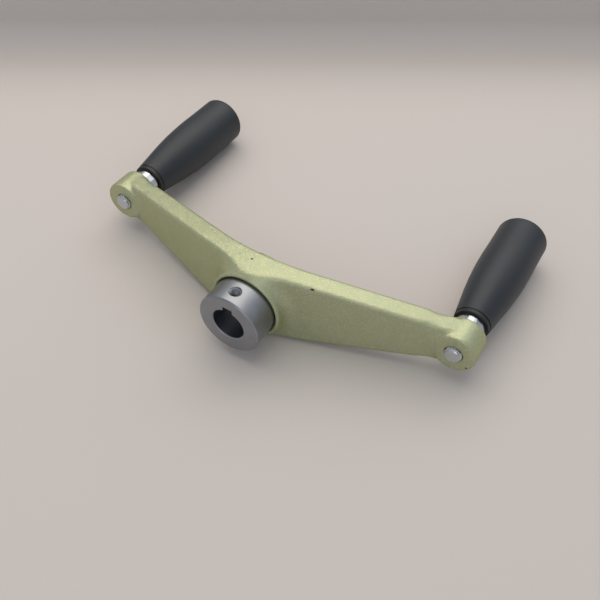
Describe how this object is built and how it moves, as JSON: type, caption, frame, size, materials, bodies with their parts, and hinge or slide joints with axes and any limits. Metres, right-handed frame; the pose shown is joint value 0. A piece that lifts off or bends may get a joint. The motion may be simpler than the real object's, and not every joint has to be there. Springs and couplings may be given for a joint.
{
  "type": "crank handle",
  "caption": "Two-armed crank handle: dished cast arm with a keyed steel hub bush and a revolving grip at each end.",
  "frame": {"origin": "centre of the keyed bore at the hub bush's shaft-side face", "axes": "+Y along the bore axis from the machine towards the operator, +X along the arm towards the right grip, +Z towards the keyway and set-screw hole"},
  "size_m": [0.2564, 0.1573, 0.049],
  "materials": {
    "arm_paint": "metallic hammer-finish olive green enamel over a light-alloy casting",
    "hub_bush_steel": "fine-turned, bare",
    "zinc_plate": "bright zinc-plated, stud and collar",
    "spring_steel": "phosphated spring steel",
    "black_nylon": "moulded, matt",
    "grip_black": "moulded, satin"
  },
  "bodies": {
    "crank": {"arm": "arm_paint", "hub_bush": "hub_bush_steel", "left_spindle": "zinc_plate", "left_washer": "zinc_plate", "left_retaining_ring": "spring_steel", "right_spindle": "zinc_plate", "right_washer": "zinc_plate", "right_retaining_ring": "spring_steel"},
    "left_grip": {"left_grip": "grip_black", "left_guide_bush": "black_nylon", "left_end_cap": "grip_black"},
    "right_grip": {"right_grip": "grip_black", "right_guide_bush": "black_nylon", "right_end_cap": "grip_black"}
  },
  "joints": [
    {"name": "left_grip_spin", "type": "hinge", "parent": "crank", "child": "left_grip", "pos_m": [-0.1125, 0.1, 0], "axis": [0, 1, 0], "continuous": true},
    {"name": "right_grip_spin", "type": "hinge", "parent": "crank", "child": "right_grip", "pos_m": [0.1125, 0.1, 0], "axis": [0, 1, 0], "continuous": true}
  ]
}
